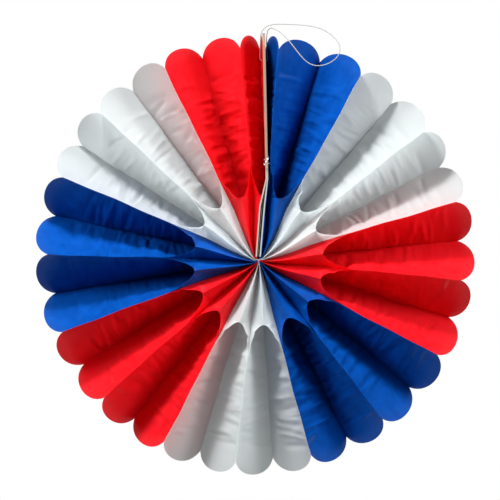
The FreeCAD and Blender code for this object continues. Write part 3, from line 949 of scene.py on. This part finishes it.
@dataclass
class HangingString:
    """The cotton string: two strands up the covers and one slack loop in front of the first lobes."""

    length: float = 275 * MM
    diameter: float = 1.0 * MM
    ply_count: int = 3
    ply_depth: float = 0.13
    ply_pitch: float = 3.4 * MM
    step: float = 0.36 * MM
    sides: int = 18
    aside: Point = (0.3, 1.0, 0.2)
    route: tuple[Point, ...] = (
        (-0.0004, 0.0, 0.0),
        (-0.0047, -0.0006, 0.0002),
        (-0.0044, -0.0032, 0.0084),
        (-0.0041, -0.0074, 0.0195),
        (-0.0035, -0.0104, 0.0296),
        (0.002, -0.012, 0.0354),
        (0.0095, -0.0132, 0.0377),
        (0.0227, -0.016, 0.0373),
        (0.0388, -0.02, 0.0363),
        (0.0548, -0.025, 0.0337),
        (0.0667, -0.03, 0.0276),
        (0.0753, -0.034, 0.0189),
        (0.0783, -0.0362, 0.0113),
        (0.0769, -0.037, 0.0046),
        (0.0722, -0.0372, -0.001),
        (0.0648, -0.0372, -0.0054),
        (0.0548, -0.037, -0.0076),
        (0.0454, -0.0364, -0.0049),
        (0.0373, -0.0344, 0.0032),
        (0.0263, -0.028, 0.0185),
        (0.0168, -0.02, 0.0288),
        (0.0102, -0.014, 0.033),
        (0.0046, -0.0086, 0.0338),
        (0.0024, -0.0062, 0.0268),
        (0.0024, -0.0034, 0.0158),
        (0.0031, -0.001, 0.0064),
        (0.0043, -0.0002, 0.0003),
        (0.0004, 0.0, 0.0),
    )

    def line(self) -> np.ndarray:
        """Points of the route's smooth line: a NURBS spline of order 3 with the route as control."""
        curve = bpy.data.curves.new("string_line", "CURVE")
        curve.dimensions = "3D"
        curve.resolution_u = 24
        spline = curve.splines.new("NURBS")
        spline.points.add(len(self.route) - 1)
        spline.points.foreach_set("co", np.hstack([self.route, np.ones((len(self.route), 1))]).ravel())
        spline.order_u = 3
        spline.use_endpoint_u = True
        carrier = bpy.data.objects.new("string_line", curve)
        mesh = bpy.data.meshes.new_from_object(carrier)
        points = np.empty(len(mesh.vertices) * 3)
        mesh.vertices.foreach_get("co", points)
        bpy.data.objects.remove(carrier)
        bpy.data.curves.remove(curve)
        bpy.data.meshes.remove(mesh)
        return points.reshape(-1, 3)

    def even(self, points: np.ndarray) -> np.ndarray:
        """The same line with evenly spaced points, by straight-line interpolation on its length."""
        length = np.concatenate([[0.0], np.cumsum(np.linalg.norm(np.diff(points, axis=0), axis=1))])
        count = int(length[-1] / self.step) + 1
        marks = np.linspace(0, length[-1], count)
        return np.stack([np.interp(marks, length, points[:, axis]) for axis in range(3)], axis=1)

    def build(self) -> tuple[bpy.types.Object, np.ndarray]:
        """Carries a lobed section along the line, turning it by the twist of the plies.

        The section's radius is the string's times 1 - ply_depth (1 + cosine of ply_count times the
        angle, less the twist). Each ring is square to the line and starts from the crosswise
        direction of the line and aside.

        Returns:
            The tube and the line that it follows.
        """
        path = self.even(self.line())
        way = np.gradient(path, axis=0)
        way /= np.linalg.norm(way, axis=1)[:, None]
        up = np.cross(way, self.aside)
        up /= np.linalg.norm(up, axis=1)[:, None]
        across = np.cross(way, up)
        turn = np.linspace(0, 2 * math.pi, self.sides, endpoint=False)
        twist = np.arange(len(path)) * self.step / self.ply_pitch * 2 * math.pi
        around = self.ply_count * (turn[None, :] - twist[:, None] / self.ply_count)
        radius = self.diameter / 2 * (1 - self.ply_depth * (1 + np.cos(around)))
        ring = up[:, None, :] * np.cos(turn)[None, :, None]
        ring = ring + across[:, None, :] * np.sin(turn)[None, :, None]
        tube = path[:, None, :] + radius[..., None] * ring
        points = np.concatenate([tube.reshape(-1, 3), path[[0]], path[[-1]]])
        number = np.arange(len(path) * self.sides).reshape(len(path), self.sides)
        after = np.roll(number, -1, axis=1)
        skin = np.stack([number[:-1], after[:-1], after[1:], number[1:]], axis=-1).reshape(-1, 4)
        near = self.end_cap(number[0], len(points) - 2)[:, [0, 3, 2, 1]]
        far = self.end_cap(number[-1], len(points) - 1)
        return mesh_object("cotton_string", points, np.concatenate([skin, near, far])), path

    def end_cap(self, ring: np.ndarray, centre: int) -> np.ndarray:
        """Closes an end by quads from its centre to each two neighbouring steps of its ring.

        Args:
            ring: Vertex numbers round the end.
            centre: Vertex number of its middle.

        Returns:
            Vertex numbers, four a row, in the ring's own sense.
        """
        first = np.arange(0, self.sides, 2)
        corners = [ring[(first + ahead) % self.sides] for ahead in range(3)]
        return np.stack([np.full(len(first), centre), *corners], axis=1)

    def dress(self, cotton: bpy.types.Material) -> None:
        piece, path = self.build()
        piece.data.materials.append(cotton)
        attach(piece, "root")
        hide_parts("hanging_string")
        measured = float(np.linalg.norm(np.diff(path, axis=0), axis=1).sum())
        log.info("string %.1f mm", measured / MM)


@dataclass(frozen=True)
class Lamp:
    """A square lamp that faces the hub, at an offset from it, with its side and its watts."""

    name: str
    offset: Point
    size: float
    power: float


@dataclass
class Studio:
    """Camera, lamps, floor and background."""

    shape: FanShape
    lamps: tuple[Lamp, ...] = (
        Lamp("key_lamp", (-0.27, -0.62, 1.0), 0.2, 17.0),
        Lamp("left_lamp", (-0.7, -0.5, 0.35), 0.3, 5.0),
        Lamp("right_lamp", (0.72, -0.5, 0.3), 0.3, 5.6),
        Lamp("low_right_lamp", (1.5, -1.4, -0.3), 0.8, 1.5),
    )
    soft_light: float = 0.13
    camera_distance: float = 3.0
    camera_reach: float = 50.0
    sensor: float = 36.0
    frame_pixels: float = 500.0
    metres_per_pixel: float = 1.041 * MM
    hub_pixel: tuple[float, float] = (258.4, 260.1)
    floor_drop: float = 0.35
    floor_radius: float = 0.42
    floor_sides: int = 96
    floor_colours: tuple[Rgb, Rgb] = ((0.86, 0.86, 0.86), (0.9, 0.9, 0.9))

    def view_centre(self) -> tuple[float, float]:
        """X and Z that the middle of the frame looks at, from the hub's place in the frame."""
        half = self.frame_pixels / 2
        across = self.shape.hub[0] + (half - self.hub_pixel[0]) * self.metres_per_pixel
        upward = self.shape.hub[2] + (self.hub_pixel[1] - half) * self.metres_per_pixel
        return across, upward

    def place_camera(self) -> None:
        """Sets the camera square in front, far enough away for the photo's slight perspective."""
        across, upward = self.view_centre()
        lens = bpy.data.cameras.new("front_camera")
        lens.sensor_width = self.sensor
        lens.lens = self.sensor * self.camera_distance / (self.frame_pixels * self.metres_per_pixel)
        lens.clip_end = self.camera_reach
        camera = bpy.data.objects.new("front_camera", lens)
        camera.location = (across, -self.camera_distance, upward)
        camera.rotation_euler = (math.pi / 2, 0, 0)
        bpy.context.scene.collection.objects.link(camera)
        bpy.context.scene.camera = camera

    def add_lamp(self, lamp: Lamp) -> None:
        """Adds a lamp and turns it towards the hub."""
        light = bpy.data.lights.new(lamp.name, "AREA")
        light.shape = "SQUARE"
        light.size = lamp.size
        light.energy = lamp.power
        holder = bpy.data.objects.new(lamp.name, light)
        holder.location = tuple(a + b for a, b in zip(self.shape.hub, lamp.offset))
        tilt = math.acos(lamp.offset[2] / math.hypot(*lamp.offset))
        turn = math.atan2(lamp.offset[1], lamp.offset[0]) + math.pi / 2
        holder.rotation_euler = (tilt, 0, turn)
        bpy.context.scene.collection.objects.link(holder)

    def set_world(self) -> None:
        """Soft grey light from all round, and white where the camera or a shiny or clear face looks.

        Light that tissue scatters through itself counts as both transmitted and diffuse, and takes
        the soft light, so that the background doesn't light the paper.
        """
        world = bpy.data.worlds.new("studio_white")
        world.use_nodes = True
        tree = world.node_tree
        tree.nodes.clear()
        out = add_node(tree, "OutputWorld")
        light = add_node(tree, "Background", Color=(1, 1, 1, 1), Strength=self.soft_light)
        white = add_node(tree, "Background", Color=(1, 1, 1, 1), Strength=1.0)
        ray = add_node(tree, "LightPath")
        clear = add_node(tree, "Math", operation="SUBTRACT")
        shiny = add_node(tree, "Math", operation="MAXIMUM")
        looked = add_node(tree, "Math", operation="MAXIMUM")
        mix = add_node(tree, "MixShader")
        wire(
            tree,
            (ray, "Is Transmission Ray", clear, 0),
            (ray, "Is Diffuse Ray", clear, 1),
            (ray, "Is Glossy Ray", shiny, 0),
            (clear, 0, shiny, 1),
            (ray, "Is Camera Ray", looked, 0),
            (shiny, 0, looked, 1),
            (looked, 0, mix, "Fac"),
            (light, "Background", mix, 1),
            (white, "Background", mix, 2),
            (mix, "Shader", out, "Surface"),
        )
        bpy.context.scene.world = world

    def add_floor(self) -> None:
        """A round pale floor under the fan, below the camera's frame."""
        low = CAD_BOX[0][2] - self.floor_drop
        turn = np.linspace(0, 2 * math.pi, self.floor_sides, endpoint=False)
        ring = np.stack([np.cos(turn), np.sin(turn)], axis=1) * self.floor_radius
        across = self.view_centre()[0]
        points = [(across + x, y, low) for x, y in ring.tolist()]
        mesh = bpy.data.meshes.new("studio_floor")
        mesh.from_pydata(points, [], [tuple(range(len(points)))])
        floor = bpy.data.objects.new("studio_floor", mesh)
        made, tree, surface = new_material("StudioFloor")
        surface.inputs["Roughness"].default_value = 0.9
        place = add_node(tree, "TexCoord")
        noise = add_node(tree, "TexNoise", Scale=40.0, Detail=2.0)
        tint = add_tint(tree, *self.floor_colours)
        wire(
            tree,
            (place, "Object", noise, "Vector"),
            (noise, "Fac", tint, 0),
            (tint, 2, surface, "Base Color"),
        )
        mesh.materials.append(made)
        bpy.context.scene.collection.objects.link(floor)

    def build(self) -> None:
        """Sets up the whole studio."""
        self.place_camera()
        self.set_world()
        for lamp in self.lamps:
            self.add_lamp(lamp)
        self.add_floor()
        bpy.context.scene.view_settings.view_transform = "Standard"
        log.info("studio")


def main() -> None:
    """Builds the studio and the dressed fan."""
    shape = FanShape()
    Studio(shape).build()
    HangingString().dress(StringFinish().material())
    grain = paper_grain_group()
    crinkle = crinkle_group()
    finishes = {tissue: finish.material(grain, crinkle) for tissue, finish in TISSUES.items()}
    PleatedPaper(shape).dress(finishes)
    CoverSet().dress(CardFinish().material(grain), WireFinish().material())


if __name__ == "__main__":
    main()
